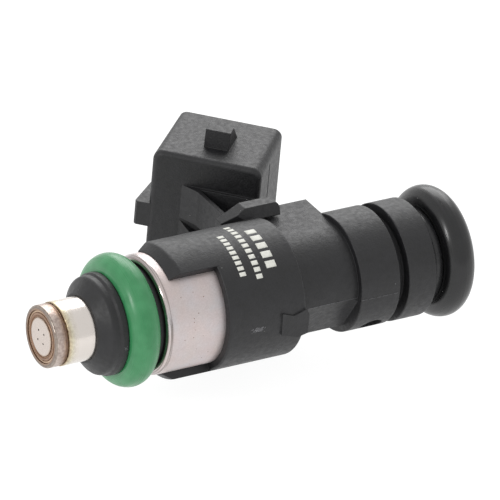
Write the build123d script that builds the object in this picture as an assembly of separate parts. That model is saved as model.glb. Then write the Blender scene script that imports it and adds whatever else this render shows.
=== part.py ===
from build123d import *
from math import cos, radians, sin, sqrt
import os

# Port fuel injector with a two-blade plug socket, lying along X.
# +X runs along the injector from the nozzle to the fuel inlet, +Y is the side of the plug
# socket, and +Z is up. The origin is on the axis, at the middle of the lower O-ring.
# Lengths are in millimetres. The plane Z = 0 is the moulded body's parting plane, and the
# body is the same on both sides of it, apart from the strips' widths, a flat, a vent, a gate
# stub and a cored notch.

# Seals: the standard O-ring of 7.52 mm inside diameter and 3.53 mm section, fitted twice.
seal_inner_r = 3.76
seal_section_r = 1.765
seal_pitch = 39.25
seal_ring_r = seal_inner_r + seal_section_r

# Nozzle end.
tip_x = -9.4
tip_rim_r = 3.42
weld_groove_x = (-8.25, -7.85)
weld_groove_r = 3.3
nozzle_r = 3.5
nozzle_bore_r = 2.9
nozzle_end_x = 6.05
ring_land_r = 3.67
seal_land_r = 3.74
slip = 0.02
support_ring_x = (-4.6, -1.85)
support_lip = 0.12
support_ring_r = 5.6
lower_backup_x = (1.82, 2.88)
lower_backup_r = 5.7

# Valve.
ball_x = -7.0
ball_r = 1.22
seat_gap = 0.03
seat_x = (-9.15, -6.95)
orifice_circle_r = 0.8
orifice_r = 0.12
lift = 0.08
needle_r = 1.0
needle_bore_r = 0.65
armature_x = (3.6, 9.6)
armature_r = 2.6
sleeve_x = (3.0, 12.5)
sleeve_r = (2.68, 2.88)
spring_seat_x = 7.2
spring_end_x = 14.2
adjuster_end_x = 20.4
adjuster_bore_r = 0.75
spring_wire_r = 0.15
spring_mean_r = 0.98
spring_turns = 8

# Solenoid.
pot_x = (2.37, 17.6)
pot_r = 6.58
pot_wall = 0.46
pot_front_x = 2.9
pot_front_wall_x = 3.6
bobbin_x = (6.08, 16.58)
bobbin_r = (3.05, 6.0)
coil_x = (6.8, 15.9)
coil_r = (3.45, 5.7)
lower_washer_x = (3.62, 6.03)
upper_washer_x = (16.62, 17.55)
lead_y = 4.6
lead_r = 0.2
pole_x = (armature_x[1] + lift + 0.02, 20.6)
pole_r = 2.98
pole_step_x = 12.55
pole_bore_r = 1.4

# Moulded body.
body_x = (9.45, 18.9)
body_r = 7.48
strip_front_x = 3.85
top_strip_half_angle = 29.7
bottom_strip_half_angle = 33
tube_r = 5.8
collar_r = 6.53
collar_x = ((26.4, 31.3), (32.45, 36.05))
clip_groove_r = 5.3
shelf_y = 6.3
flat_x = (19.15, 26.4)
flat_angle = 30
vent_x = 29.15
vent_angle = 45
vent_r = 1.3
neck_left_x = 17.55

# Inlet end.
inlet_r = 3.4
inlet_bore_r = 2.4
inlet_mouth_r = 2.6
inlet_mouth_x = 39.92
inlet_end_x = 41.65
inlet_flange_r = 5.0
backup_ring_x = (36.1, 37.45)
filter_nose_x = (30.3, 30.9)
filter_ring_x = (36.9, 37.9)
filter_collar_x = (37.92, 39.9)
filter_collar_bore_r = 1.9

# Plug socket: its axis leaves the body at plug_tilt from the injector's own axis.
plug_tilt = 45
plug_back = (18.58, 14.32)
plug_depth = 10.45
plug_width = 12.25
plug_height = 16.2
plug_draft = 1.7
socket_width = 9.3
socket_height = 13.6
socket_floor = 1.3
socket_corner_r = 0.7
blade_z = 2.5
blade_size = (2.8, 0.8)
blade_end = 8.3
neck_half_height = 4.55
web_half_height = 1.7

overlap = 0.4


def outline(points, rounds=()):
    """Closed face through the points, with the named corners rounded."""
    face = make_face(Polyline(*points, close=True))
    for corner, radius in rounds:
        nearest = face.vertices().sort_by_distance(Vector(*corner))[0]
        face = fillet(nearest, radius)
    return face


def turned(points, rounds=()):
    """Solid turned about the injector's axis from an outline of (x, radius) points."""
    return revolve(outline(points, rounds), Axis.X)


def ring(x_range, r_inner, r_outer):
    start, end = x_range
    return turned([(start, r_inner), (start, r_outer), (end, r_outer), (end, r_inner)])


def rod(x_range, radius):
    start, end = x_range
    return turned([(start, 0), (start, radius), (end, radius), (end, 0)])


def along_x(x, shape):
    """A shape built about Z, laid with its axis on the injector's axis at x."""
    return Pos(x, 0, 0) * Rot(0, 90, 0) * shape


def both_sides(shape):
    """The shape and its mirror image in the plane Z = 0."""
    return shape + mirror(shape, about=Plane.XY)


def plan_block(points, z_range, rounds=()):
    """A plan outline in X and Y, raised from the first Z to the second."""
    low, high = z_range
    return Pos(0, 0, low) * extrude(outline(points, rounds), high - low)


def plug_point(along, across):
    """The plan point so far along the plug axis, and so far across it towards the nozzle."""
    c, s = cos(radians(plug_tilt)), sin(radians(plug_tilt))
    return (plug_back[0] + along * c - across * s, plug_back[1] + along * s + across * c)


def plug_plane(along=0.0):
    """The plane across the plug socket: its x runs across in plan, its y runs along Z."""
    c, s = cos(radians(plug_tilt)), sin(radians(plug_tilt))
    across = (-s, c, 0)
    return Plane(origin=(*plug_point(along, 0), 0), x_dir=across, z_dir=(c, s, 0))


def plug_block(along_range, across_range, z_range):
    """A block given by its ranges along the plug axis, across it and in Z."""
    size = [high - low for low, high in (across_range, z_range, along_range)]
    middle = [(low + high) / 2 for low, high in (across_range, z_range, along_range)]
    return plug_plane() * Pos(*middle) * Box(*size)


# ---- Valve group ----


def nozzle_tube():
    points = [
        (tip_x, nozzle_bore_r),
        (tip_x, tip_rim_r),
        (weld_groove_x[0], tip_rim_r),
        (weld_groove_x[0], weld_groove_r),
        (weld_groove_x[1], weld_groove_r),
        (weld_groove_x[1], nozzle_r),
        (support_ring_x[0] + support_lip + slip, nozzle_r),
        (support_ring_x[0] + support_lip + slip, ring_land_r),
        (support_ring_x[1], ring_land_r),
        (support_ring_x[1], seal_land_r),
        (pot_front_x, seal_land_r),
        (pot_front_x, nozzle_r),
        (nozzle_end_x, nozzle_r),
        (nozzle_end_x, nozzle_bore_r),
    ]
    rounds = [((tip_x, tip_rim_r), 0.18), ((weld_groove_x[1], nozzle_r), 0.12)]
    return turned(points, rounds)


def orifice_disc():
    rim_r = nozzle_bore_r - 0.03
    face_r = 2.1
    flange_x = tip_x + 0.12
    points = [
        (tip_x, 0),
        (tip_x, face_r),
        (flange_x, face_r),
        (flange_x, rim_r),
        (seat_x[0], rim_r),
        (seat_x[0], 0),
    ]
    disc = turned(points, [((tip_x, face_r), 0.06)])
    for angle in (45, 135, 225, 315):
        y, z = orifice_circle_r * cos(radians(angle)), orifice_circle_r * sin(radians(angle))
        disc -= Pos(0, y, z) * along_x(tip_x, Cylinder(orifice_r, 2))
    return disc


def valve_seat():
    """Seat with a 45 degree cone under the ball and a mixing chamber over the orifices."""
    reach = (ball_r + seat_gap) * sqrt(2)
    apex_x = ball_x - reach
    throat_r = 0.45
    chamber_x = seat_x[0] + 0.4
    chamber_r = 1.05
    rim_r = nozzle_bore_r - slip
    points = [
        (seat_x[0], chamber_r),
        (chamber_x, chamber_r),
        (chamber_x, throat_r),
        (apex_x + throat_r, throat_r),
        (seat_x[1], seat_x[1] - apex_x),
        (seat_x[1], rim_r),
        (seat_x[0], rim_r),
    ]
    return turned(points)


def guide_ring():
    """Ring that centres the ball, with flutes that let the fuel past it."""
    thickness = 0.8
    ball_clearance = 0.05
    guide = ring((seat_x[1], seat_x[1] + thickness), ball_r + ball_clearance, nozzle_bore_r - slip)
    flute_circle_r = 1.6
    flute_r = 0.42
    for angle in range(0, 360, 60):
        y, z = flute_circle_r * cos(radians(angle)), flute_circle_r * sin(radians(angle))
        guide -= Pos(0, y, z) * along_x(seat_x[1], Cylinder(flute_r, 4))
    return guide


def valve_ball():
    return Pos(ball_x, 0, 0) * Sphere(ball_r)


def needle_tube():
    """Tube between ball and armature, with cross holes that let the fuel out to the seat."""
    start, end = ball_x + 0.6, spring_seat_x
    cross_hole_r = 0.36
    wall = outline([(start, needle_bore_r), (start, needle_r), (end, needle_r), (end, needle_bore_r)])
    tube = revolve(wall - Pos(ball_x, 0) * Circle(ball_r), Axis.X)
    for x, turn in ((-4.6, 30), (-3.4, 120)):
        tube -= Pos(x, 0, 0) * Rot(turn, 0, 0) * Cylinder(cross_hole_r, 4)
    return tube


def armature():
    start, end = armature_x
    pocket_r = 1.32
    points = [
        (start, needle_r),
        (start, armature_r),
        (end, armature_r),
        (end, pocket_r),
        (spring_seat_x, pocket_r),
        (spring_seat_x, needle_r),
    ]
    return turned(points, [((start, armature_r), 0.25)])


def return_spring():
    """Open coil spring between the needle tube and the adjusting tube."""
    end_gap = 0.03
    height = spring_end_x - spring_seat_x - 2 * (spring_wire_r + end_gap)
    pitch = height / spring_turns
    path = Helix(pitch, height, spring_mean_r)
    section = Plane(origin=path @ 0, z_dir=path % 0) * Circle(spring_wire_r)
    coil = sweep(section, path=path)
    return along_x(spring_seat_x + spring_wire_r + end_gap, coil)


def nonmagnetic_sleeve():
    return ring(sleeve_x, *sleeve_r)


def inner_pole():
    start, end = pole_x
    front_r = sleeve_r[0] - slip
    points = [
        (start, pole_bore_r),
        (start, front_r),
        (pole_step_x, front_r),
        (pole_step_x, pole_r),
        (end, pole_r),
        (end, pole_bore_r),
    ]
    return turned(points)


def adjusting_tube():
    return ring((spring_end_x, adjuster_end_x), adjuster_bore_r, pole_bore_r - slip)


# ---- Solenoid ----


def magnet_pot():
    inner_r = pot_r - pot_wall
    lip_r = 5.85
    bore_r = nozzle_r + slip
    points = [
        (pot_x[0], lip_r),
        (pot_x[0], pot_r),
        (pot_x[1], pot_r),
        (pot_x[1], inner_r),
        (pot_front_wall_x, inner_r),
        (pot_front_wall_x, bore_r),
        (pot_front_x, bore_r),
        (pot_front_x, lip_r),
    ]
    return turned(points, [((pot_x[0], pot_r), 0.65), ((pot_x[0], lip_r), 0.05)])


def lower_flux_washer():
    return ring(lower_washer_x, nozzle_r + slip, pot_r - pot_wall - slip)


def upper_flux_washer():
    """Washer with a slot on the plug's side for the two terminal strips."""
    start, end = upper_washer_x
    washer = ring(upper_washer_x, pole_r + slip, pot_r - pot_wall - slip)
    slot_depth, slot_height = 3.0, 3.4
    return washer - Pos((start + end) / 2, 5.2, 0) * Box(end - start + 0.4, slot_depth, slot_height)


def coil_bobbin():
    bore_r, flange_r = bobbin_r
    front_x, back_x = bobbin_x
    points = [
        (front_x, bore_r),
        (front_x, flange_r),
        (coil_x[0], flange_r),
        (coil_x[0], coil_r[0]),
        (coil_x[1], coil_r[0]),
        (coil_x[1], flange_r),
        (back_x, flange_r),
        (back_x, bore_r),
    ]
    bobbin = turned(points)
    for z in (-1, 1):
        bobbin -= Pos(0, lead_y, z) * along_x(back_x, Cylinder(lead_r, 3))
    return bobbin


def coil_winding():
    return ring(coil_x, coil_r[0] + slip, coil_r[1])


def coil_lead(side):
    """End of the winding, brought out through the bobbin's back flange."""
    start, end = coil_x[1], bobbin_x[1]
    return Pos((start + end) / 2, lead_y, side) * Rot(0, 90, 0) * Cylinder(lead_r, end - start)


def terminal(side):
    """Sheet strip from the coil up the neck, ending in a blade in the plug socket."""
    low, high = 0.7, 1.3
    strip_width = 1.6
    bend_x, bend_y = 19.9, 12.6
    route = Polyline((bobbin_x[1] + slip, lead_y), (bend_x, lead_y), (bend_x, bend_y), plug_point(0.75, 0))
    strip = Pos(0, 0, low) * extrude(trace(route, strip_width), high - low)
    blade_width, thickness = blade_size
    half = blade_width / 2
    foot = plug_block((0.3, 1.0), (-half, half), (low, blade_z + thickness / 2))
    sheet = (blade_z - thickness / 2, blade_z + thickness / 2)
    nose_length, nose_taper = 0.8, 18
    blade = plug_block((0.3, blade_end - nose_length), (-half, half), sheet)
    nose = extrude(Rectangle(blade_width, thickness), nose_length, taper=nose_taper)
    whole = strip + foot + blade + plug_plane(blade_end - nose_length) * Pos(0, blade_z) * nose
    return whole if side > 0 else mirror(whole, about=Plane.XY)


# ---- Seals and rings ----


def o_ring(x):
    return along_x(x, Torus(seal_ring_r, seal_section_r))


def support_ring():
    """Ring in front of the O-ring: a rounded front part, a rim, and a lip down to the nozzle."""
    front, back = support_ring_x
    land_x = front + support_lip
    shoulder, rim_front = (-3.42, 5.36), (-2.75, 5.4)
    points = [
        (front, nozzle_r + slip),
        (front, 3.8),
        shoulder,
        rim_front,
        (rim_front[0] + 0.25, support_ring_r),
        (back, support_ring_r),
        (back, ring_land_r + slip),
        (land_x, ring_land_r + slip),
        (land_x, nozzle_r + slip),
    ]
    return turned(points, [(shoulder, 0.6)])


def lower_backup_washer():
    return ring(lower_backup_x, seal_land_r + slip, lower_backup_r)


def upper_backup_ring():
    start, end = backup_ring_x
    inner_r = seal_land_r + 2 * slip
    front_r, rim_r = 4.95, 5.3
    rim_x = start + 0.6
    points = [(start, inner_r), (start, front_r), (rim_x, rim_r), (end, rim_r), (end, inner_r)]
    return turned(points)


# ---- Inlet ----


def inlet_tube():
    seal_x = collar_x[1][1] + 0.05
    flange_x = seal_pitch + seal_section_r + 0.03
    narrow_bore_r = 1.6
    bore_step_x = 30.0
    points = [
        (pole_x[1], narrow_bore_r),
        (pole_x[1], inlet_r),
        (seal_x, inlet_r),
        (seal_x, seal_land_r),
        (flange_x, seal_land_r),
        (flange_x, inlet_flange_r),
        (inlet_end_x, inlet_flange_r),
        (inlet_end_x, inlet_mouth_r),
        (inlet_mouth_x, inlet_mouth_r),
        (inlet_mouth_x, inlet_bore_r),
        (bore_step_x, inlet_bore_r),
        (bore_step_x, narrow_bore_r),
    ]
    rounds = [((inlet_end_x, inlet_flange_r), 0.3), ((flange_x, inlet_flange_r), 0.2)]
    return turned(points, rounds)


def filter_collar():
    return ring(filter_collar_x, filter_collar_bore_r, inlet_bore_r - slip)


def filter_frame():
    """Plastic cage: a ring at the collar, four ribs and a closed nose."""
    ring_r = (1.4, 2.3)
    nose_r = 1.95
    frame = ring(filter_ring_x, *ring_r) + rod(filter_nose_x, nose_r)
    rib_width, rib_thickness, rib_r = 0.5, 0.42, 1.74
    start, end = filter_nose_x[1] - 0.2, filter_ring_x[0] + 0.2
    rib = Pos((start + end) / 2, 0, rib_r) * Box(end - start, rib_width, rib_thickness)
    for angle in range(0, 360, 90):
        frame += Rot(angle, 0, 0) * rib
    return frame


def filter_mesh():
    return ring((filter_nose_x[1] + slip, filter_ring_x[0] - slip), 1.44, 1.5)


# ---- Moulded body ----


def strip(half_angle):
    """Strip of the moulding that reaches forward over the pot, with a sloped nose."""
    nose_corner = (strip_front_x, pot_r + 0.12)
    nose_top = (strip_front_x + 1.1, body_r)
    profile = outline(
        [
            (strip_front_x, pot_r - overlap),
            nose_corner,
            nose_top,
            (body_x[0] + overlap, body_r),
            (body_x[0] + overlap, pot_r - overlap),
        ],
        [(nose_corner, 0.12), (nose_top, 0.6)],
    )
    # The profile starts on the +Y side, so it is turned to stand evenly about +Z.
    return Rot(90 - half_angle, 0, 0) * revolve(profile, Axis.X, 2 * half_angle)


def lifting_tab():
    """Ear on top of the body's back end, flat on top, sloped towards the nozzle and at its side."""
    front_x, flat_front_x, back_x = 14.9, 17.6, 21.85
    top_z, under_z, root_z = 7.5, 6.15, 5.0
    near_y, slope_y, far_y = 3.9, 4.7, 5.8
    side = [
        (front_x, root_z),
        (front_x, 6.05),
        (flat_front_x, top_z),
        (back_x, top_z),
        (back_x, under_z),
        (18.7, under_z),
        (18.7, root_z),
    ]
    slab = extrude(Plane.XZ * outline(side, [((back_x, top_z), 0.6)]), -far_y)
    plan = [
        (back_x, near_y),
        (flat_front_x, near_y),
        (front_x, slope_y),
        (front_x, far_y),
        (back_x, far_y),
    ]
    end_view = [(near_y, root_z), (near_y, under_z), (4.45, top_z), (far_y, top_z), (far_y, root_z)]
    sloped = Pos(front_x, 0, 0) * extrude(Plane.YZ * outline(end_view), back_x - front_x)
    return slab & plan_block(plan, (0, 9)) & sloped


def gate_stub():
    """Stub left where the plastic entered the mould, with a shallow V across its top."""
    front_y, root_y = -7.62, -6.3
    face = [
        (15.8, 1.3),
        (17.3, 0.75),
        (18.85, 1.25),
        (19.2, 0.5),
        (19.2, -1.75),
        (17.95, -2.05),
        (15.9, -1.35),
    ]
    return Pos(0, root_y, 0) * extrude(Plane.XZ * outline(face), root_y - front_y)


def neck():
    """Neck between body and plug socket: a web with a pocket in each side."""
    corner = (neck_left_x, 14.0)
    outer = [
        (neck_left_x, 4.0),
        corner,
        plug_point(0.3, 3.18),
        plug_point(0.3, -5.52),
        (23.4, shelf_y - 0.3),
        (23.4, 4.0),
    ]
    block = plan_block(outer, (-neck_half_height, neck_half_height), [(corner, 1.6)])
    pocket_x, pocket_y = neck_left_x + 0.45, 7.6
    pocket_plan = outline(
        [(pocket_x, pocket_y), (pocket_x, 14.4), plug_point(-0.32, -4.92), (22.6, pocket_y)]
    )
    floor_plan = offset(pocket_plan, -0.5, kind=Kind.INTERSECTION)
    pocket = loft([Pos(0, 0, web_half_height) * floor_plan, Pos(0, 0, neck_half_height) * pocket_plan])
    return block - both_sides(pocket) - cored_notch()


def cored_notch():
    """Three-sided notch in the neck's front wall, just under the parting plane."""
    top_z, bottom_z = 0.5, -1.6
    depth = 0.8
    outline_yz = [(16.5, top_z), (11.0, top_z), (11.0, bottom_z), (13.4, bottom_z)]
    front_x = 15.4
    return Plane(origin=(front_x, 0, 0), x_dir=(0, 1, 0), z_dir=(1, 0, 0)) * extrude(
        outline(outline_yz), neck_left_x + depth - front_x
    )


def locking_lug():
    """Wedge on a wide side of the plug socket that a plug's spring clip snaps over."""
    base = plug_height / 2 - 0.6
    top = plug_height / 2 + 1.95
    side = [(3.0, base), (3.35, top), (4.75, top), (6.9, plug_height / 2 - 0.3), (6.9, base)]
    plane = Plane(origin=(*plug_point(0, 1.18), 0), x_dir=plug_plane().z_dir, z_dir=-plug_plane().x_dir)
    face = plane * outline(side)
    return extrude(face, 2.8)


def key_rib():
    """Rib on the narrow side of the socket that faces the nozzle, tapering to the mouth."""
    back, front, corner = 0.05, 5.6, 0.25
    foot, back_top, front_top = 5.0, 7.63, 7.02
    plan = [
        plug_point(back, foot),
        plug_point(back, back_top - corner),
        plug_point(back + corner, back_top),
        plug_point(front, front_top),
        plug_point(front, foot),
    ]
    return plan_block(plan, (-1.42, 1.42))


def plug_shell():
    """Rectangular shell of the plug socket with rounded edges, tapering to its mouth."""
    base = RectangleRounded(plug_width, plug_height, 1.25)
    shell = plug_plane() * extrude(base, plug_depth, taper=plug_draft)
    back_edges = shell.faces().sort_by(Axis(origin=(0, 0, 0), direction=plug_plane().z_dir))[0].edges()
    shell = fillet(back_edges, 0.6)
    groove_z = plug_height / 2 - 1.5
    groove_floor = 0.45 - plug_width / 2
    groove = plug_block((4.45, 4.75), (groove_floor - 1, groove_floor), (-groove_z, groove_z))
    return shell + both_sides(locking_lug()) + key_rib() - groove


def tube_flat():
    """Cutter for the flat under the tube's parting line, which curves out as it meets the collar."""
    start, end = flat_x
    curve_end = end + 1.4
    curve_r = 2.4
    depth, width = 4, 8
    cutter = Box(curve_end - start, depth, width)
    run_out = cutter.edges().filter_by(Axis.Z).sort_by(Axis.X)[-2:].sort_by(Axis.Y)[-1]
    cutter = fillet(run_out, curve_r)
    middle_y = -tube_r * cos(radians(flat_angle)) - depth / 2
    cutter = Rot(flat_angle, 0, 0) * Pos((start + curve_end) / 2, middle_y, 0) * cutter
    return cutter & Pos((start + end) / 2, 0, 0) * Box(end - start, 4 * tube_r, 4 * tube_r)


def vent():
    """Cutter for the blind hole in the underside of the first collar."""
    hole = Rot(90, 0, 0) * Cylinder(vent_r, 1.6)
    return Pos(vent_x, 0, 0) * Rot(vent_angle, 0, 0) * Pos(0, -collar_r, 0) * hole


def barrel_outline():
    """Outline and edge rounds of the moulding that is turned about the axis."""
    points = [(body_x[0], 0), (body_x[0], body_r), (body_x[1], body_r), (body_x[1], tube_r)]
    rounds = [((body_x[0], body_r), 0.25), ((body_x[1], body_r), 0.3)]
    floor_r = tube_r
    for start, end in collar_x:
        points += [(start, floor_r), (start, collar_r), (end, collar_r)]
        rounds += [((start, collar_r), 0.12), ((end, collar_r), 0.12 if end < collar_x[1][1] else 0.3)]
        floor_r = clip_groove_r
        points.append((end, floor_r if end < collar_x[1][1] else 0))
    return points, rounds


def housing():
    barrel = turned(*barrel_outline())
    shelf_length = collar_x[0][0] - body_x[1]
    shelf = Box(shelf_length + 0.2, shelf_y, 2 * tube_r)
    barrel += Pos(body_x[1] + shelf_length / 2, shelf_y / 2, 0) * shelf
    body = barrel - tube_flat() + strip(top_strip_half_angle) + both_sides(lifting_tab()) + gate_stub()
    body += mirror(strip(bottom_strip_half_angle), about=Plane.XY) + neck() + plug_shell()
    socket = extrude(RectangleRounded(socket_width, socket_height, socket_corner_r), plug_depth)
    body -= plug_plane(socket_floor) * socket
    body -= rod((0, pot_x[1] + slip), pot_r + slip / 2)
    body -= rod((pot_x[0], pole_x[1] + slip), pole_r + slip)
    body -= rod((pole_x[1], inlet_end_x), inlet_r + slip / 2)
    body -= vent()
    body -= terminal(1) + terminal(-1)
    return body


nodes = {
    "housing": housing,
    "magnet_pot": magnet_pot,
    "nozzle_tube": nozzle_tube,
    "orifice_disc": orifice_disc,
    "valve_seat": valve_seat,
    "guide_ring": guide_ring,
    "valve_ball": valve_ball,
    "needle_tube": needle_tube,
    "armature": armature,
    "return_spring": return_spring,
    "nonmagnetic_sleeve": nonmagnetic_sleeve,
    "inner_pole": inner_pole,
    "adjusting_tube": adjusting_tube,
    "lower_flux_washer": lower_flux_washer,
    "upper_flux_washer": upper_flux_washer,
    "coil_bobbin": coil_bobbin,
    "coil_winding": coil_winding,
    "coil_lead_upper": lambda: coil_lead(1),
    "coil_lead_lower": lambda: coil_lead(-1),
    "terminal_upper": lambda: terminal(1),
    "terminal_lower": lambda: terminal(-1),
    "support_ring": support_ring,
    "lower_o_ring": lambda: o_ring(0),
    "lower_backup_washer": lower_backup_washer,
    "upper_backup_ring": upper_backup_ring,
    "upper_o_ring": lambda: o_ring(seal_pitch),
    "inlet_tube": inlet_tube,
    "filter_collar": filter_collar,
    "filter_frame": filter_frame,
    "filter_mesh": filter_mesh,
}

os.makedirs("parts", exist_ok=True)
for name, make in nodes.items():
    export_step(make(), f"parts/{name}.step")
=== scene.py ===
import math
import random

import bpy
from mathutils import Matrix, Vector


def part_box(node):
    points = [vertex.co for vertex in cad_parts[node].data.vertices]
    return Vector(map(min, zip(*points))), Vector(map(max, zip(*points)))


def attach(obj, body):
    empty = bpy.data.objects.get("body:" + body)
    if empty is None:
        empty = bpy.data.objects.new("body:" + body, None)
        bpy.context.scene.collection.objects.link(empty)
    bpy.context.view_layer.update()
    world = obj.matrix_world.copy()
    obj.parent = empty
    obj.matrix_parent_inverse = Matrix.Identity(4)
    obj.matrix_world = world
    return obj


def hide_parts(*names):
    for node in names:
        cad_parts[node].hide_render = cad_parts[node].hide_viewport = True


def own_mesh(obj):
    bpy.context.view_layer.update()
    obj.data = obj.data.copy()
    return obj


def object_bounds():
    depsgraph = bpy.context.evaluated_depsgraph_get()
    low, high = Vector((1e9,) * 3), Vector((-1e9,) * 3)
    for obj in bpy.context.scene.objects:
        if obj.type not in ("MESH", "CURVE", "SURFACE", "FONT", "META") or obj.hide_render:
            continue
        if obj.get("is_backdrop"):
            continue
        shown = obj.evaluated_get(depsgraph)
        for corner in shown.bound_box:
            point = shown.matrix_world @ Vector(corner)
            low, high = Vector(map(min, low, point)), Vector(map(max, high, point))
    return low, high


bl_info = {
    "name": "Port fuel injector finish",
    "version": (1, 0, 0),
    "blender": (4, 5, 0),
    "location": "View3D > Sidebar > Injector",
    "description": "Finishes, small surface pieces and a plain stage for a port fuel injector",
    "category": "Object",
}

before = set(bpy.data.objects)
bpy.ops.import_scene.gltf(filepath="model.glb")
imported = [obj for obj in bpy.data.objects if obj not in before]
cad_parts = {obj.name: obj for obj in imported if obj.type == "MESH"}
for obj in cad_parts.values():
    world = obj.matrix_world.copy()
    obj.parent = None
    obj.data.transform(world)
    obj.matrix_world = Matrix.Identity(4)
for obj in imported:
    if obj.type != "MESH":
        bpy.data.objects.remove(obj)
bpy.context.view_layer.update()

MM = 0.001
AXIS_TURN = 2 * math.pi

# Places and sizes of the injector that the small pieces are built on, in millimetres.
BODY_RADIUS = 7.48
TUBE_RADIUS = 5.8
COLLAR_RADIUS = 6.53
SUPPORT_RING_RADIUS = 5.6
TIP_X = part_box("nozzle_tube")[0].x / MM
WELD_GROOVE_X = TIP_X + 1.35
BODY_BACK_X = 18.9
COLLAR_X = (26.4, 31.3)
WINDING_INNER_RADIUS = 3.47
CAMERA_AIM = (13.43, -3.69, 7.59)

# Share of a noise's range that its values mostly keep to.
NOISE_RANGE = (0.3, 0.7)
POLYMER_IOR = 1.52


def linear(hex_colour):
    """A linear colour from an sRGB hex value such as 0x3F8156."""
    channels = [(hex_colour >> shift & 255) / 255 for shift in (16, 8, 0)]
    return [c / 12.92 if c <= 0.04045 else ((c + 0.055) / 1.055) ** 2.4 for c in channels]


def per(size_mm):
    """Scale of a pattern, in cells to the metre, from the size of one cell."""
    return 1 / (size_mm * MM)


def add(tree, kind, inputs=None, stops=(), **settings):
    """Adds a node: settings are its own fields, inputs are values or outputs to link, stops are a ramp's."""
    made = tree.nodes.new(kind)
    for field, value in settings.items():
        setattr(made, field, value)
    for name, value in (inputs or {}).items():
        socket = made.inputs[name]
        if isinstance(value, bpy.types.NodeSocket):
            tree.links.new(value, socket)
        elif socket.type == "RGBA":
            socket.default_value = (*value, 1)
        else:
            socket.default_value = value
    if stops:
        elements = made.color_ramp.elements
        while len(elements) < len(stops):
            elements.new(1)
        for element, (position, colour) in zip(elements, stops):
            element.position = position
            element.color = (*colour, 1)
    return made


# ---- Settings ----


def colour_setting(name, description, hex_colour):
    return bpy.props.FloatVectorProperty(
        name=name,
        description=description,
        default=linear(hex_colour),
        size=3,
        subtype="COLOR",
        min=0,
        max=1,
    )


def length_setting(name, description, millimetres):
    return bpy.props.FloatProperty(
        name=name, description=description, default=millimetres * MM, min=0, unit="LENGTH", precision=5
    )


class InjectorColours(bpy.types.PropertyGroup):
    nylon: colour_setting("Nylon", "Black glass-filled nylon of the body", 0x0A0A0B)
    nylon_light: colour_setting("Nylon, pale", "The same nylon where glass shows near the skin", 0x151518)
    green_rubber: colour_setting("Green rubber", "Lower O-ring", 0x2E7A4A)
    green_rubber_light: colour_setting("Green rubber, dusty", "Lower O-ring where it's chalky", 0x45905F)
    black_rubber: colour_setting("Black rubber", "Upper O-ring", 0x0B0B0C)
    pot_plate: colour_setting("Pot plating", "Plating of the solenoid's pot", 0xD0C3BE)
    steel: colour_setting("Steel", "Turned stainless steel of the nozzle", 0xDAD2CC)
    tin: colour_setting("Tin", "Tin on the plug's blades", 0xCFCDC6)
    copper: colour_setting("Copper wire", "Enamelled winding wire", 0xB0622E)
    brass: colour_setting("Brass", "Collar of the inlet filter", 0xD9B36A)
    natural_nylon: colour_setting("Natural nylon", "Bobbin and filter cage", 0xD8CDB4)
    marking: colour_setting("Marking ink", "Plain print marks on the body", 0xDEDED6)


class InjectorSizes(bpy.types.PropertyGroup):
    wire: length_setting("Coil wire", "Diameter of the winding's wire", 0.2)
    gauze_pitch: length_setting("Gauze pitch", "Distance between the filter gauze's threads", 0.3)
    gauze_thread: length_setting("Gauze thread", "Thickness of a thread of the gauze", 0.06)
    bead: length_setting("Weld bead", "Width of the laser weld beads", 0.36)
    seam: length_setting("Seam", "Width of the mould's seam on the body", 0.05)
    mark: length_setting("Print mark", "Height of one print mark along the injector", 0.75)


class InjectorStage(bpy.types.PropertyGroup):
    azimuth: bpy.props.FloatProperty(
        name="Azimuth",
        description="Camera's turn about the vertical",
        default=math.radians(-33.118),
        subtype="ANGLE",
    )
    elevation: bpy.props.FloatProperty(
        name="Elevation",
        description="Camera's height angle",
        default=math.radians(29.318),
        subtype="ANGLE",
    )
    roll: bpy.props.FloatProperty(
        name="Roll",
        description="Camera's turn about its own line of sight",
        default=math.radians(5.37),
        subtype="ANGLE",
    )
    distance: length_setting("Distance", "From the camera to the point it aims at", 796.5)
    lens: bpy.props.FloatProperty(name="Lens", description="Focal length", default=540, unit="CAMERA")
    key_power: bpy.props.FloatProperty(
        name="Key light", description="Power of the soft light behind and above", default=1.4, unit="POWER"
    )
    side_power: bpy.props.FloatProperty(
        name="Side light",
        description="Power of the soft light on the nozzle's side",
        default=0.5,
        unit="POWER",
    )
    room_light: bpy.props.FloatProperty(
        name="Room light", description="Strength of the light all round", default=0.9
    )
    floor_light: bpy.props.FloatProperty(
        name="Floor light", description="Strength of the lit table", default=0.92
    )


# ---- Materials ----


def new_material(name):
    """A material with one shader: (material, node tree, shader, place of the surface in metres)."""
    material = bpy.data.materials.new(name)
    material.use_nodes = True
    tree = material.node_tree
    tree.nodes.clear()
    shader = add(tree, "ShaderNodeBsdfPrincipled")
    add(tree, "ShaderNodeOutputMaterial", {"Surface": shader.outputs["BSDF"]})
    place = add(tree, "ShaderNodeTexCoord").outputs["Object"]
    return material, tree, shader, place


def link(tree, shader, **outputs):
    """Links outputs to the shader's sockets, named with _ for a space."""
    for name, output in outputs.items():
        tree.links.new(output, shader.inputs[name.replace("_", " ")])


def layered(tree, base, *layers):
    """A colour with others laid over it, each a (share from 0 to 1, colour)."""
    for share, colour in layers:
        base = add(tree, "ShaderNodeMix", {0: share, 6: base, 7: colour}, data_type="RGBA").outputs[2]
    return base


def spread(tree, place, size_mm, low, high, detail=3.0):
    """Random value that varies over that size, from low to high."""
    noise = add(tree, "ShaderNodeTexNoise", {"Vector": place, "Scale": per(size_mm), "Detail": detail})
    inputs = {"Value": noise.outputs["Fac"], "To Min": low, "To Max": high}
    inputs["From Min"], inputs["From Max"] = NOISE_RANGE
    return add(tree, "ShaderNodeMapRange", inputs).outputs["Result"]


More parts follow.
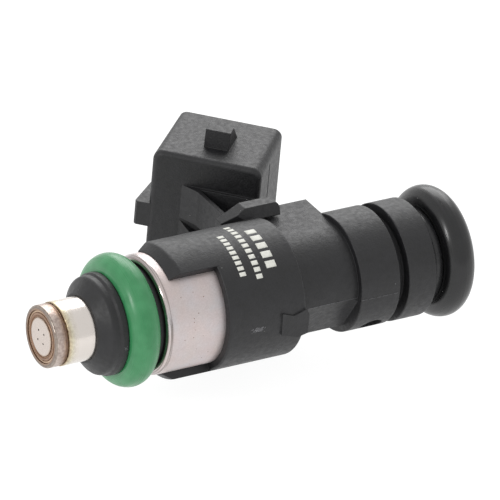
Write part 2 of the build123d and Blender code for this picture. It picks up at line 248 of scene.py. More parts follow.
def ahead_of(tree, place, axis, full_mm, gone_mm):
    """1 where the place lies ahead of full_mm along an axis, fading to 0 by gone_mm."""
    along = add(tree, "ShaderNodeSeparateXYZ", {"Vector": place}).outputs[axis]
    inputs = {"Value": along, "From Min": full_mm * MM, "From Max": gone_mm * MM, "To Min": 1, "To Max": 0}
    return add(tree, "ShaderNodeMapRange", inputs).outputs["Result"]


def skin(tree, place, grains, normal=None):
    """Relief of random grains, each a size and a height in millimetres, laid over one another."""
    for size_mm, height_mm in grains:
        noise = add(tree, "ShaderNodeTexNoise", {"Vector": place, "Scale": per(size_mm), "Detail": 2.0})
        inputs = {"Height": noise.outputs["Fac"], "Distance": height_mm * MM}
        if normal is not None:
            inputs["Normal"] = normal
        normal = add(tree, "ShaderNodeBump", inputs).outputs["Normal"]
    return normal


def specks(tree, place, spacing_mm, size_mm, share=0.5):
    """1 on small specks of that size and usual spacing, with only a share of them kept."""
    cells = add(tree, "ShaderNodeTexVoronoi", {"Vector": place, "Scale": per(spacing_mm)})
    near = {0: cells.outputs["Distance"], 1: size_mm / 2 / spacing_mm}
    spot = add(tree, "ShaderNodeMath", near, operation="LESS_THAN").outputs[0]
    drawn = add(tree, "ShaderNodeSeparateColor", {"Color": cells.outputs["Color"]}).outputs[0]
    kept = add(tree, "ShaderNodeMath", {0: drawn, 1: share}, operation="LESS_THAN").outputs[0]
    return add(tree, "ShaderNodeMath", {0: spot, 1: kept}, operation="MULTIPLY").outputs[0]


def turned_place(tree, place):
    """Place on a turned piece as (along the axis, radius, a little of Z), so patterns run round it."""
    z_share = 0.04
    across = add(tree, "ShaderNodeVectorMath", {0: place, 1: (0, 1, 1)}, operation="MULTIPLY").outputs[0]
    radius = add(tree, "ShaderNodeVectorMath", {0: across}, operation="LENGTH").outputs["Value"]
    parts = add(tree, "ShaderNodeSeparateXYZ", {"Vector": place})
    drift = add(tree, "ShaderNodeMath", {0: parts.outputs["Z"], 1: z_share}, operation="MULTIPLY")
    inputs = {"X": parts.outputs["X"], "Y": radius, "Z": drift.outputs[0]}
    return add(tree, "ShaderNodeCombineXYZ", inputs).outputs[0]


def axis_ramp(tree, value, low_mm, high_mm, stops, jitter=None):
    """Colours along a distance in millimetres, each stop a (millimetres, hex colour)."""
    if jitter is not None:
        value = add(tree, "ShaderNodeMath", {0: value, 1: jitter}, operation="ADD").outputs[0]
    inputs = {"Value": value, "From Min": low_mm * MM, "From Max": high_mm * MM}
    share = add(tree, "ShaderNodeMapRange", inputs).outputs["Result"]
    span = high_mm - low_mm
    stops = [((at - low_mm) / span, linear(colour)) for at, colour in stops]
    return add(tree, "ShaderNodeValToRGB", {"Fac": share}, stops).outputs["Color"]


def moulded_nylon(name, dark, light, edge_mm, grains, roughness=(0.44, 0.58), dust=0x8E8E8C):
    """Nylon as its tool leaves it: soft edges, a grain from fine to spark-eroded, cloudy colour and dust."""
    material, tree, shader, place = new_material(name)
    clouds = spread(tree, place, 1.6, 0, 1)
    # Glass fibres are about 0.01 mm thick, too fine to show, so their flecks are drawn 0.24 mm coarse.
    flecks = spread(tree, place, 0.24, 0, 0.7, 4.0)
    dusty = specks(tree, place, 0.9, 0.075, 0.3)
    colour = layered(tree, dark, (clouds, light), (flecks, light), (dusty, linear(dust)))
    rough = spread(tree, place, 0.5, *roughness)
    edges = add(tree, "ShaderNodeBevel", {"Radius": edge_mm * MM}, samples=6).outputs["Normal"]
    link(tree, shader, Base_Color=colour, Roughness=rough, Normal=skin(tree, place, grains, edges))
    shader.inputs["IOR"].default_value = POLYMER_IOR
    return material


def rubber(name, colour, dusty_colour, roughness, dust):
    """Moulded O-ring rubber: smooth with a soft sheen, faint chalky bloom and dust that clings to it."""
    material, tree, shader, place = new_material(name)
    bloom = spread(tree, place, 1.3, 0, 0.6)
    dusty = specks(tree, place, 1.1, 0.09, 0.35)
    base = layered(tree, colour, (bloom, dusty_colour), (dusty, linear(dust)))
    lines = turned_place(tree, place)
    rough = spread(tree, lines, 0.35, *roughness)
    relief = skin(tree, lines, ((0.3, 0.006),), skin(tree, place, ((2.2, 0.02), (0.12, 0.0015))))
    link(tree, shader, Base_Color=base, Roughness=rough, Normal=relief)
    shader.inputs["IOR"].default_value = POLYMER_IOR
    return material


def turned_steel(name, colour, roughness=(0.16, 0.3), ring_mm=0.09, ring_height=0.0012):
    """Steel turned on a lathe: bright, with fine rings round the axis and small changes of polish."""
    material, tree, shader, place = new_material(name)
    rings = turned_place(tree, place)
    base = layered(tree, colour, (spread(tree, place, 1.2, 0, 0.25), linear(0x9F978F)))
    rough = spread(tree, rings, 0.3, *roughness)
    # A fine cut's rings are about 0.02 mm apart, too fine to show, so they're drawn coarser.
    normal = skin(tree, rings, ((ring_mm, ring_height),))
    normal = skin(tree, place, ((0.7, 0.003),), normal)
    link(tree, shader, Base_Color=base, Roughness=rough, Normal=normal)
    shader.inputs["Metallic"].default_value = 1
    return material


def tip_tint(tree, place):
    """Heat tint of the tip: brown weld rings on its face, brown at the groove, and straw behind that."""
    turned = turned_place(tree, place)
    parts = add(tree, "ShaderNodeSeparateXYZ", {"Vector": turned})
    along = axis_ramp(
        tree,
        parts.outputs["X"],
        -9.5,
        -6.2,
        (
            (-9.5, 0xC9BDB3),
            (-9.1, 0xC2B4AB),
            (-8.6, 0xBCACA2),
            (-8.3, 0xA58E7C),
            (-8.05, 0x6E5644),
            (-7.9, 0x8F775E),
            (-7.78, 0xCDBE9F),
            (-7.45, 0xD6CFB8),
            (-7.1, 0xDAD3C8),
            (-6.5, 0xDAD3CD),
        ),
        spread(tree, place, 0.5, -0.06 * MM, 0.06 * MM),
    )
    around = axis_ramp(
        tree,
        parts.outputs["Y"],
        1.9,
        3.5,
        (
            (1.9, 0xCFC5BE),
            (2.08, 0xBFAE9F),
            (2.14, 0x6A5243),
            (2.24, 0x9A7B63),
            (2.42, 0x8C6B54),
            (2.5, 0xA98D76),
            (2.66, 0x86664F),
            (2.76, 0xCDB7A0),
            (2.88, 0x8D715B),
            (3.02, 0xA08A78),
            (3.12, 0x7C746C),
            (3.3, 0xA0968C),
        ),
        spread(tree, place, 0.6, -0.03 * MM, 0.03 * MM),
    )
    on_face = ahead_of(tree, turned, "X", -9.27, -9.2)
    return layered(tree, along, (on_face, around)), turned


def nozzle_steel(name):
    """Turned stainless steel, laser welded at the tip: bright, brown and straw tint, a mottled rim."""
    material, tree, shader, place = new_material(name)
    tint, turned = tip_tint(tree, place)
    mottle = layered(tree, tint, (spread(tree, place, 0.32, -0.15, 0.6, 6.0), linear(0x75615C)))
    scorched = ahead_of(tree, place, "X", -8.0, -6.6)
    base = layered(tree, tint, (scorched, mottle))
    polish = {0: scorched, 1: 0.16, 2: spread(tree, turned, 0.3, 0.14, 0.26)}
    rough = add(tree, "ShaderNodeMath", polish, operation="MULTIPLY_ADD").outputs[0]
    # A fine cut's rings are about 0.02 mm apart, too fine to show, so they're drawn 0.1 mm apart.
    normal = skin(tree, turned, ((0.1, 0.0012),))
    normal = skin(tree, place, ((0.6, 0.004), (0.16, 0.0012)), normal)
    link(tree, shader, Base_Color=base, Roughness=rough, Normal=normal)
    shader.inputs["Metallic"].default_value = 1
    return material


def orifice_steel(name):
    """Etched thin steel disc: matt and even, with the weld's brown rings round it."""
    material, tree, shader, place = new_material(name)
    tint, _ = tip_tint(tree, place)
    base = layered(tree, tint, (specks(tree, place, 0.35, 0.06, 0.4), linear(0x9B8E84)))
    rough = spread(tree, place, 0.4, 0.42, 0.55)
    # Etched grains are some 0.02 mm across, too fine to show, so they're drawn 0.09 mm across.
    relief = skin(tree, place, ((0.3, 0.003), (0.09, 0.001)))
    link(tree, shader, Base_Color=base, Roughness=rough, Normal=relief)
    shader.inputs["Metallic"].default_value = 1
    return material


def plated_pot(name, colour):
    """Deep-drawn steel, nickel plated: warm satin, faint pink and blue blooms, brown pits, a burnished lip
    with painted dark reflection streaks, and painted shade in the recess behind the O-ring.
    """
    material, tree, shader, place = new_material(name)
    turned = turned_place(tree, place)
    lip = ahead_of(tree, turned, "X", 2.9, 3.15)
    # Painted shade: inside a radius of 5.9 mm, in the recess behind the lower O-ring, the plating is painted
    # dark olive.
    inside = ahead_of(tree, turned, "Y", 5.9, 6.12)
    # Painted reflection: dark streaks on the burnished lip stand in for reflections of the dark
    # surroundings.
    painted_reflection_streaks = {0: lip, 1: spread(tree, turned, 0.2, -0.6, 1.0)}
    painted_reflection_streaks = add(tree, "ShaderNodeMath", painted_reflection_streaks, operation="MULTIPLY", use_clamp=True).outputs[0]
    base = layered(
        tree,
        colour,
        (spread(tree, place, 3.2, 0, 0.8), linear(0xC9CACF)),
        (spread(tree, place, 2.1, 0, 0.5), linear(0xD2C0BF)),
        (spread(tree, place, 0.16, 0, 0.3, 4.0), linear(0xA89C98)),
        (specks(tree, place, 0.55, 0.11, 0.3), linear(0x7B5F4B)),
        # painted dark reflection streaks on the lip
        (painted_reflection_streaks, linear(0x5C554E)),
        # painted shade in the recess behind the O-ring
        (inside, linear(0x3E3A30)),
    )
    shine = {0: lip, 1: -0.3, 2: spread(tree, place, 0.4, 0.44, 0.54)}
    rough = add(tree, "ShaderNodeMath", shine, operation="MULTIPLY_ADD").outputs[0]
    # The plating's own grain is under 0.05 mm, too fine to show, so it's drawn 0.16 mm coarse.
    relief = skin(tree, place, ((1.4, 0.006), (0.16, 0.007)))
    link(tree, shader, Base_Color=base, Roughness=rough, Normal=relief)
    shader.inputs["Metallic"].default_value = 1
    return material


def drawn_metal(name, colour, shade, roughness):
    """Drawn or stamped metal: bright, with light draw marks along it and thin tarnish."""
    material, tree, shader, place = new_material(name)
    along = (0.15, 1, 1)
    stretched = add(tree, "ShaderNodeVectorMath", {0: place, 1: along}, operation="MULTIPLY").outputs[0]
    base = layered(tree, colour, (spread(tree, place, 0.9, 0, 0.4), linear(shade)))
    rough = spread(tree, stretched, 0.12, *roughness)
    # Real draw marks are about 0.01 mm wide, too fine to show, so they're drawn 0.08 mm wide.
    relief = skin(tree, stretched, ((0.08, 0.0012),))
    link(tree, shader, Base_Color=base, Roughness=rough, Normal=relief)
    shader.inputs["Metallic"].default_value = 1
    return material


def enamelled_copper(name, colour):
    """Copper wire under clear enamel: warm metal behind a thin gloss."""
    material, tree, shader, place = new_material(name)
    base = layered(tree, colour, (spread(tree, place, 0.5, 0, 0.5), linear(0x7C3A18)))
    rough = spread(tree, place, 0.2, 0.2, 0.34)
    link(tree, shader, Base_Color=base, Roughness=rough, Normal=skin(tree, place, ((0.2, 0.002),)))
    shader.inputs["Metallic"].default_value = 1
    shader.inputs["Coat Weight"].default_value = 0.6
    return material


def printed_ink(name, colour):
    """Pad-printed ink: pale, matt and slightly uneven, with the body's grain under it."""
    material, tree, shader, place = new_material(name)
    base = layered(tree, colour, (spread(tree, place, 0.25, 0, 0.35), linear(0xA9A9A2)))
    rough = spread(tree, place, 0.3, 0.5, 0.65)
    link(tree, shader, Base_Color=base, Roughness=rough, Normal=skin(tree, place, ((0.12, 0.003),)))
    return material


def torn_nylon(name):
    """Nylon torn at the gate when the sprue broke off: pale stressed fibres in dull black."""
    material, tree, shader, place = new_material(name)
    base = layered(tree, linear(0x232325), (spread(tree, place, 0.1, 0, 1, 4.0), linear(0x77777A)))
    rough = spread(tree, place, 0.15, 0.35, 0.6)
    link(tree, shader, Base_Color=base, Roughness=rough, Normal=skin(tree, place, ((0.08, 0.01),)))
    shader.inputs["IOR"].default_value = POLYMER_IOR
    return material


# ---- Shapes ----


def clothe(material, *nodes):
    """Gives CAD nodes a material."""
    for name in nodes:
        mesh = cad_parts[name].data
        mesh.materials.clear()
        mesh.materials.append(material)


def new_piece(name, points, faces, material, slot, body="injector", smooth=True):
    """A mesh from points in millimetres, riding on a body and taking the given material; the slot is not
    used.
    """
    mesh = bpy.data.meshes.new(name)
    mesh.from_pydata([Vector(p) * MM for p in points], [], faces)
    mesh.validate()
    mesh.polygons.foreach_set("use_smooth", [smooth] * len(mesh.polygons))
    mesh.materials.append(material)
    piece = bpy.data.objects.new(name, mesh)
    bpy.context.scene.collection.objects.link(piece)
    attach(piece, body)
    return piece


def around_axis(x, radius, angle):
    """Point at a radius and an angle about the axis, with 0 on -Y and 90 degrees on top."""
    return (x, -radius * math.cos(angle), radius * math.sin(angle))


def turned_mesh(loop, steps, ripple=None):
    """Points and faces of a closed loop of (x, radius) turned about the axis, its radius rippled."""
    points, faces = [], []
    count = len(loop)
    for step in range(steps):
        angle = AXIS_TURN * step / steps
        for index, (x, radius) in enumerate(loop):
            lift = ripple(index, angle) if ripple else 0
            points.append(around_axis(x, radius + lift, angle))
    for step in range(steps):
        here, there = step * count, (step + 1) % steps * count
        for index in range(count):
            after = (index + 1) % count
            faces.append((here + index, here + after, there + after, there + index))
    return points, faces


def curved_patch(x_range, radius, angle_range, thickness, columns, rows, height=None):
    """Closed thin patch on a cylinder about the axis, with its own height over each point of its face."""
    points, faces = [], []
    for side in (0, 1):
        for row in range(rows + 1):
            angle = angle_range[0] + (angle_range[1] - angle_range[0]) * row / rows
            for column in range(columns + 1):
                x = x_range[0] + (x_range[1] - x_range[0]) * column / columns
                lift = side * (thickness + (height(column, row) if height else 0))
                points.append(around_axis(x, radius + lift, angle))
    layer = (columns + 1) * (rows + 1)
    for row in range(rows):
        for column in range(columns):
            a = row * (columns + 1) + column
            b, c, d = a + 1, a + columns + 2, a + columns + 1
            faces.append((a, b, c, d))
            faces.append((a + layer, d + layer, c + layer, b + layer))
    rim = list(range(columns + 1))
    rim += [row * (columns + 1) + columns for row in range(1, rows + 1)]
    rim += [rows * (columns + 1) + column for column in range(columns - 1, -1, -1)]
    rim += [row * (columns + 1) for row in range(rows - 1, 0, -1)]
    for a, b in zip(rim, rim[1:] + rim[:1]):
        faces.append((a, a + layer, b + layer, b))
    return points, faces


def swept_sides(rings, sides):
    """Side faces of a bar whose points come ring after ring along it."""
    faces = []
    for ring in range(rings):
        here = ring * sides
        for side in range(sides):
            after = (side + 1) % sides
            faces.append((here + side, here + after, here + sides + after, here + sides + side))
    return faces


def joined(parts):
    """One list of points and one of faces from several."""
    points, faces = [], []
    for some_points, some_faces in parts:
        start = len(points)
        points += some_points
        faces += [[start + index for index in face] for face in some_faces]
    return points, faces


# How far the gauze's threads wave in and out, as a share of half a thread.
WEAVE_DEPTH = 0.9


def gauze_ring(x, radius, thread, threads, phase):
    """A thread of the gauze that runs round it, waving past the threads that run along it."""
    half, steps_per_thread = thread / 2, 3
    loop = [
        (x - half, radius - half),
        (x - half, radius + half),
        (x + half, radius + half),
        (x + half, radius - half),
    ]

    def weave(index, angle):
        return half * math.cos(threads / 2 * angle + phase) * WEAVE_DEPTH

    return turned_mesh(loop, threads * steps_per_thread, weave)


def gauze_thread(start, end, radius, thread, angle, rings, phase):
    """A thread of the gauze that runs along it, waving past the threads that run round it."""
    half, steps_per_ring = thread / 2, 4
    steps = rings * steps_per_ring
    corners = ((-half, -half), (half, -half), (half, half), (-half, half))
    points = []
    for step in range(steps + 1):
        x = start + (end - start) * step / steps
        sway = -half * WEAVE_DEPTH * math.cos(math.pi * step / steps_per_ring + phase)
        for around, out in corners:
            points.append(around_axis(x, radius + sway + out, angle + around / radius))
    first, last = (0, 3, 2, 1), tuple(steps * len(corners) + corner for corner in range(len(corners)))
    return points, swept_sides(steps, len(corners)) + [first, last]


def weld_bead(dice, x, radius, half_width, height, on_face):
    """A rippled weld round the axis, rising forwards off a face or outwards in a groove."""
    crown_steps, middle, ripples, chevron_lag = 8, 4, 84, 1.4
    chevron_depth, slow_depth = 0.22, 0.18
    wobble = [dice.uniform(-0.2, 0.2) for _ in range(6)]
    loop = []
    for step in range(crown_steps + 1):
        across = -half_width + 2 * half_width * step / crown_steps
        rise = height * (1 - (across / half_width) ** 2)
        loop.append((x - rise, radius + across) if on_face else (x + across, radius + rise))

    def ripple(index, angle):
        share = 1 - abs(index - middle) / middle
        chevron = math.sin(ripples * angle + chevron_lag * share)
        slow = sum(w * math.sin((k + 2) * angle) for k, w in enumerate(wobble))
        return share * height * (chevron_depth * chevron + slow_depth * slow)

    return turned_mesh(loop, ripples * 4, ripple)


def torn_patch(dice, x_range, radius, angle_range):
    """Torn fibres that stand up at random heights and sink into the surface at the patch's rim."""
    columns, rows, sunk, fibre = 26, 8, 0.03, 0.06
    peaks = [[max(0.0, dice.gauss(0.0, fibre)) for _ in range(columns + 1)] for _ in range(rows + 1)]

    def height(column, row):
        inside = math.sin(math.pi * column / columns) * math.sin(math.pi * row / rows)
        return peaks[row][column] * inside - sunk * (1 - inside)

    return curved_patch(x_range, radius - sunk, angle_range, sunk, columns, rows, height)


# ---- Operators ----


class INJECTOR_OT_mouldings(bpy.types.Operator):
    """Gives the body, the rings, the washer, the bobbin and the filter's cage their nylon"""

    bl_idname = "injector.mouldings"
    bl_label = "Mouldings"
    bl_options = {"REGISTER", "UNDO"}

    def execute(self, context):
        colours = context.scene.injector_colours
        black = (colours.nylon, colours.nylon_light)
        # Spark erosion leaves grains about 0.03 mm across, too fine to show, so they're drawn 0.2 mm across.
        grain = ((3.5, 0.03), (0.2, 0.03))
        clothe(moulded_nylon("glass_filled_nylon_spark_eroded", *black, 0.12, grain), "housing")
        fine = ((2.0, 0.01), (0.18, 0.014))
        ring = moulded_nylon("nylon_moulded_fine", *black, 0.1, fine, (0.42, 0.56))
        clothe(ring, "support_ring", "lower_backup_washer")
        slick = moulded_nylon("nylon_turned_slick", *black, 0.06, ((0.4, 0.004),), (0.18, 0.28))
        clothe(slick, "upper_backup_ring")
        natural = moulded_nylon(
            "nylon_natural_moulded",
            colours.natural_nylon,
            linear(0xC4B796),
            0.08,
            ((1.5, 0.008), (0.15, 0.003)),
            (0.35, 0.5),
            0xB8AD92,
        )
        clothe(natural, "coil_bobbin", "filter_frame")
        return {"FINISHED"}


class INJECTOR_OT_seals(bpy.types.Operator):
    """Gives the two O-rings their rubber"""

    bl_idname = "injector.seals"
    bl_label = "Seals"
    bl_options = {"REGISTER", "UNDO"}

    def execute(self, context):
        colours = context.scene.injector_colours
        green = (colours.green_rubber, colours.green_rubber_light)
        clothe(rubber("fluorocarbon_rubber_moulded", *green, (0.18, 0.45), 0x8FB59B), "lower_o_ring")
        black = (colours.black_rubber, linear(0x161618))
        clothe(rubber("nitrile_rubber_moulded", *black, (0.16, 0.4), 0xB5B5B0), "upper_o_ring")
        return {"FINISHED"}


class INJECTOR_OT_metalwork(bpy.types.Operator):
    """Gives the pot, the tubes, the valve, the magnetic circuit and the blades their metals"""

    bl_idname = "injector.metalwork"
    bl_label = "Metalwork"
    bl_options = {"REGISTER", "UNDO"}

    def execute(self, context):
        colours = context.scene.injector_colours
        clothe(nozzle_steel("stainless_steel_turned_heat_tinted"), "nozzle_tube")
        clothe(orifice_steel("stainless_steel_etched"), "orifice_disc")
        clothe(plated_pot("nickel_plated_steel_drawn", colours.pot_plate), "magnet_pot")
        clothe(turned_steel("stainless_steel_turned", colours.steel), "inlet_tube")
        ground = turned_steel("bearing_steel_ground", linear(0xD6D6D6), (0.05, 0.12), 0.05, 0.0004)
        clothe(ground, "valve_ball", "valve_seat", "guide_ring", "needle_tube")
        clothe(ground, "nonmagnetic_sleeve", "adjusting_tube")
        magnetic = turned_steel("magnetic_steel_turned", linear(0xA9A7A5), (0.28, 0.42), 0.14, 0.003)
        clothe(magnetic, "armature", "inner_pole", "lower_flux_washer", "upper_flux_washer")
        spring = drawn_metal("spring_steel_drawn", linear(0x9C9A98), 0x5E5C5B, (0.2, 0.34))
        clothe(spring, "return_spring")
        clothe(drawn_metal("brass_drawn", colours.brass, 0x9A7A3C, (0.18, 0.3)), "filter_collar")
        blades = drawn_metal("tinned_brass_stamped", colours.tin, 0x8F8C84, (0.2, 0.36))
        clothe(blades, "terminal_upper", "terminal_lower")
        return {"FINISHED"}


class INJECTOR_OT_winding(bpy.types.Operator):
    """Builds the coil's turns of wire in place of the plain ring, and finishes its leads"""

    bl_idname = "injector.winding"
    bl_label = "Coil winding"
    bl_options = {"REGISTER", "UNDO"}

    def execute(self, context):
        low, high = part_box("coil_winding")
        outer_r = high.z / MM
        start, end = low.x / MM, high.x / MM
        turns = round((end - start) * MM / context.scene.injector_sizes.wire)
        pitch = (end - start) / turns
        arc_points, steps_round = 5, 72
        loop = [(start, WINDING_INNER_RADIUS)]
        for turn in range(turns):
            for step in range(arc_points):
                share = step / arc_points
                crown = math.sin(math.pi * share) * pitch / 2
                loop.append((start + (turn + share) * pitch, outer_r - pitch / 2 + crown))
        loop += [(end, outer_r - pitch / 2), (end, WINDING_INNER_RADIUS)]
        wire = enamelled_copper("copper_wire_enamelled", context.scene.injector_colours.copper)
        piece = new_piece("coil_turns", *turned_mesh(loop, steps_round), wire, "enamelled_copper")
        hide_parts("coil_winding")
        clothe(wire, "coil_lead_upper", "coil_lead_lower")
        return {"FINISHED"}


class INJECTOR_OT_spring(bpy.types.Operator):
    """Winds the return spring with closed, ground ends, as a fixed shape; it doesn't shorten as the needle
    lifts
    """

    bl_idname = "injector.spring"
    bl_label = "Return spring"
    bl_options = {"REGISTER", "UNDO"}

    def execute(self, context):
        low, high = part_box("return_spring")
        start, end = low.x / MM, high.x / MM
        wire_r, turns, closed_pitch = 0.15, 10, 0.31
        mean_r = high.z / MM - wire_r
        # The wire's middle starts nearer the end than its radius, and what stands past is ground flat.
        sunk = 0.07
        open_pitch = (end - start - 2 * sunk - 2 * closed_pitch) / (turns - 2)
        steps, sides = 24, 10
        points = []
        for step in range(turns * steps + 1):
            turn = step / steps
            x = start + sunk + closed_pitch * min(turn, 1)
            x += open_pitch * min(max(turn - 1, 0), turns - 2)
            x += closed_pitch * max(turn - turns + 1, 0)
            for side in range(sides):
                round_wire = AXIS_TURN * side / sides
                ground_x = min(max(x + wire_r * math.sin(round_wire), start), end)
                radius = mean_r + wire_r * math.cos(round_wire)
                points.append(around_axis(ground_x, radius, AXIS_TURN * turn))
        first, last = tuple(range(sides)), tuple(len(points) - 1 - side for side in range(sides))
        faces = swept_sides(turns * steps, sides) + [first, last]
        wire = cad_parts["return_spring"].data.materials[0]
        piece = new_piece("wound_spring", points, faces, wire, "spring_wire")
        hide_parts("return_spring")
        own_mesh(piece)
        return {"FINISHED"}


class INJECTOR_OT_gauze(bpy.types.Operator):
    """Weaves the inlet filter's gauze in place of the plain tube"""

    bl_idname = "injector.gauze"
    bl_label = "Filter gauze"
    bl_options = {"REGISTER", "UNDO"}

    def execute(self, context):
        sizes = context.scene.injector_sizes
        low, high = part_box("filter_mesh")
        start, end = low.x / MM, high.x / MM
        thread, pitch = sizes.gauze_thread / MM, sizes.gauze_pitch / MM
        middle_r = high.z / MM - thread
        threads = 2 * round(math.pi * middle_r / pitch)
        rings = round((end - start) / pitch)
        pitch_x = (end - start) / rings
        half = thread / 2
        parts = []
        for ring in range(rings + 1):
            x = min(max(start + ring * pitch_x, start + half), end - half)
            parts.append(gauze_ring(x, middle_r, thread, threads, ring * math.pi))
        for index in range(threads):
            angle = AXIS_TURN * index / threads
            parts.append(gauze_thread(start, end, middle_r, thread, angle, rings, index * math.pi))
        woven = drawn_metal("stainless_wire_woven", linear(0xB5B0A6), 0x77736B, (0.25, 0.4))
        piece = new_piece("filter_gauze", *joined(parts), woven, "filter_gauze")
        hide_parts("filter_mesh")
        return {"FINISHED"}


class INJECTOR_OT_welds(bpy.types.Operator):
    """Lays the rippled laser weld beads in the nozzle's groove and round the orifice disc"""

    bl_idname = "injector.welds"
    bl_label = "Weld beads"
    bl_options = {"REGISTER", "UNDO"}

    def execute(self, context):
        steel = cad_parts["nozzle_tube"].data.materials[0]
        half = context.scene.injector_sizes.bead / MM / 2
        dice = random.Random(7)
        in_groove = weld_bead(dice, WELD_GROOVE_X, 3.3, half, 0.07, False)
        round_disc = weld_bead(dice, TIP_X + 0.12, 2.46, half, 0.09, True)
        new_piece("weld_beads", *joined([in_groove, round_disc]), steel, "nozzle_steel")
        return {"FINISHED"}


class INJECTOR_OT_seam(bpy.types.Operator):
    """Runs the mould's seam along the front of the tube and the first collar"""

    bl_idname = "injector.seam"
    bl_label = "Mould seam"
    bl_options = {"REGISTER", "UNDO"}

    def execute(self, context):
        half = context.scene.injector_sizes.seam / MM / 2
        sunk, shortest = 0.02, 0.1
        dice = random.Random(3)
        parts = []
        x = BODY_BACK_X + 0.3
        while x < COLLAR_X[1] - 0.2:
            end = min(x + dice.uniform(0.25, 0.8), COLLAR_X[1] - 0.1)
            on_collar = x > COLLAR_X[0]
            if not on_collar:
                end = min(end, COLLAR_X[0])
            radius = COLLAR_RADIUS if on_collar else TUBE_RADIUS
            angle = half / radius
            flash = dice.uniform(0.008, 0.03)
            if end - x > shortest:
                strip = curved_patch((x, end), radius - sunk, (-angle, angle), sunk + flash, 3, 2)
                parts.append(strip)
            x = end + (dice.uniform(0.08, 0.3) if on_collar else 0.02)
        pale = (linear(0x3A3A3C), linear(0x5A5A5C))
        seam = moulded_nylon("nylon_seam_flash", *pale, 0.02, ((0.1, 0.003),), (0.35, 0.5))
        new_piece("mould_seam", *joined(parts), seam, "moulded_body")
        return {"FINISHED"}


class INJECTOR_OT_gates(bpy.types.Operator):
    """Leaves the torn gate marks on the body and on the support ring"""

    bl_idname = "injector.gates"
    bl_label = "Gate marks"
    bl_options = {"REGISTER", "UNDO"}

    def execute(self, context):
        torn = torn_nylon("nylon_torn_at_gate")
        on_body = torn_patch(random.Random(5), (11.6, 14.2), BODY_RADIUS, (-0.06, 0.04))
        new_piece("body_gate_mark", *on_body, torn, "moulded_body", smooth=False)
        on_ring = torn_patch(random.Random(9), (-2.45, -1.9), SUPPORT_RING_RADIUS, (-0.05, 0.05))
        new_piece("ring_gate_mark", *on_ring, torn, "ring_plastic", smooth=False)
        return {"FINISHED"}


class INJECTOR_OT_marks(bpy.types.Operator):
    """Prints plain bars on the body, which stand for no letter or number"""

    bl_idname = "injector.marks"
    bl_label = "Print marks"
    bl_options = {"REGISTER", "UNDO"}

    def execute(self, context):
        height = context.scene.injector_sizes.mark / MM
        inked, sunk, thickness = 0.66, 0.01, 0.022
        parts = []
        for x, first, last, count, tall in (
            (11.6, 92, 45, 9, height),
            (13.45, 106, 40, 11, height),
            (15.0, 92, 46, 5, height * 1.6),
        ):
            step = (last - first) / count
            for index in range(count):
                start = math.radians(first + step * index)
                end = math.radians(first + step * (index + inked))
                rows = max(3, round(abs(end - start) / 0.03))
                bar = curved_patch((x, x + tall), BODY_RADIUS - sunk, (end, start), thickness, 3, rows)
                parts.append(bar)
        ink = printed_ink("ink_pad_printed", context.scene.injector_colours.marking)
        new_piece("print_marks", *joined(parts), ink, "moulded_body")
        return {"FINISHED"}


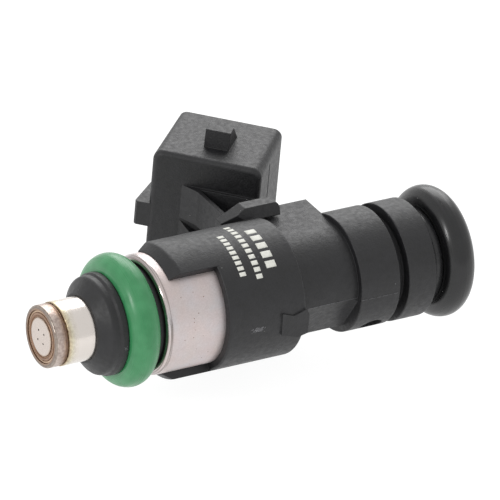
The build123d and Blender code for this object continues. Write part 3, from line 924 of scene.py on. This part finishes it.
class INJECTOR_OT_stage(bpy.types.Operator):
    """Lays the lit table and sets the lights and the camera"""

    bl_idname = "injector.stage"
    bl_label = "Stage"

    def execute(self, context):
        stage = context.scene.injector_stage
        low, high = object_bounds()
        middle = (low + high) / 2
        self.lay_table(stage, low.z)
        self.light_room(context.scene, stage)
        for name, direction, size, power in (
            ("key_softbox", (0.44, 0.68, 0.58), (0.4, 0.4), stage.key_power),
            ("side_softbox", (-0.9, -0.1, 0.42), (0.03, 0.12), stage.side_power),
        ):
            self.hang_softbox(name, middle, direction, size, power)
        self.place_camera(context.scene, stage)
        context.scene.view_settings.view_transform = "Standard"
        return {"FINISHED"}

    def lay_table(self, stage, floor_z):
        reach, gap = 3.0, 0.05 * MM
        points = [(-reach, -reach, 0), (reach, -reach, 0), (reach, reach, 0), (-reach, reach, 0)]
        mesh = bpy.data.meshes.new("table")
        mesh.from_pydata(points, [], [(0, 1, 2, 3)])
        table = bpy.data.objects.new("table", mesh)
        table.location.z = floor_z - gap
        bpy.context.scene.collection.objects.link(table)
        material, tree, shader, place = new_material("opal_acrylic_lit_from_below")
        base = layered(tree, linear(0x7A7A7A), (spread(tree, place, 400, 0, 1), linear(0x7C7C7C)))
        link(tree, shader, Base_Color=base)
        shader.inputs["Roughness"].default_value = 0.7
        shader.inputs["Specular IOR Level"].default_value = 0
        shader.inputs["Emission Color"].default_value = (1, 1, 1, 1)
        shader.inputs["Emission Strength"].default_value = stage.floor_light
        mesh.materials.append(material)
        table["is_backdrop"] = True

    def light_room(self, scene, stage):
        world = bpy.data.worlds.new("pale_room")
        world.use_nodes = True
        scene.world = world
        background = world.node_tree.nodes["Background"]
        background.inputs["Color"].default_value = (1, 1, 1, 1)
        background.inputs["Strength"].default_value = stage.room_light

    def hang_softbox(self, name, aim, direction, size, power):
        distance = 0.5
        light = bpy.data.lights.new(name, "AREA")
        light.shape = "RECTANGLE"
        light.size, light.size_y = size
        light.energy = power
        lamp = bpy.data.objects.new(name, light)
        back = Vector(direction).normalized()
        lamp.location = aim + back * distance
        lamp.rotation_mode = "QUATERNION"
        lamp.rotation_quaternion = (-back).to_track_quat("-Z", "Y")
        bpy.context.scene.collection.objects.link(lamp)

    def place_camera(self, scene, stage):
        aim = Vector(CAMERA_AIM) * MM
        a, e = stage.azimuth, stage.elevation
        back = Vector((math.sin(a) * math.cos(e), -math.cos(a) * math.cos(e), math.sin(e)))
        level = (-back).to_track_quat("-Z", "Y").to_matrix().to_4x4()
        camera = bpy.data.objects.new("camera", bpy.data.cameras.new("camera"))
        camera.matrix_world = (
            Matrix.Translation(aim + back * stage.distance) @ level @ Matrix.Rotation(stage.roll, 4, "Z")
        )
        camera.data.lens = stage.lens
        camera.data.sensor_width = 36
        camera.data.clip_start = 0.05
        camera.data.clip_end = 20
        scene.collection.objects.link(camera)
        scene.camera = camera


STEPS = (
    INJECTOR_OT_mouldings,
    INJECTOR_OT_seals,
    INJECTOR_OT_metalwork,
    INJECTOR_OT_winding,
    INJECTOR_OT_spring,
    INJECTOR_OT_gauze,
    INJECTOR_OT_welds,
    INJECTOR_OT_seam,
    INJECTOR_OT_gates,
    INJECTOR_OT_marks,
    INJECTOR_OT_stage,
)


class INJECTOR_PT_panel(bpy.types.Panel):
    """Lists the steps and their settings"""

    bl_idname = "INJECTOR_PT_panel"
    bl_label = "Fuel injector"
    bl_space_type = "VIEW_3D"
    bl_region_type = "UI"
    bl_category = "Injector"

    def draw(self, context):
        for step in STEPS:
            self.layout.operator(step.bl_idname)
        for name, group in GROUPS.items():
            box = self.layout.box()
            for setting in group.__annotations__:
                box.prop(getattr(context.scene, name), setting)


GROUPS = {
    "injector_colours": InjectorColours,
    "injector_sizes": InjectorSizes,
    "injector_stage": InjectorStage,
}


def register():
    for name, group in GROUPS.items():
        bpy.utils.register_class(group)
        setattr(bpy.types.Scene, name, bpy.props.PointerProperty(type=group))
    for cls in (*STEPS, INJECTOR_PT_panel):
        bpy.utils.register_class(cls)


def unregister():
    for cls in (*STEPS, INJECTOR_PT_panel):
        bpy.utils.unregister_class(cls)
    for name, group in GROUPS.items():
        delattr(bpy.types.Scene, name)
        bpy.utils.unregister_class(group)


def main():
    register()
    for step in STEPS:
        category, name = step.bl_idname.split(".")
        getattr(getattr(bpy.ops, category), name)()


if __name__ == "__main__":
    main()
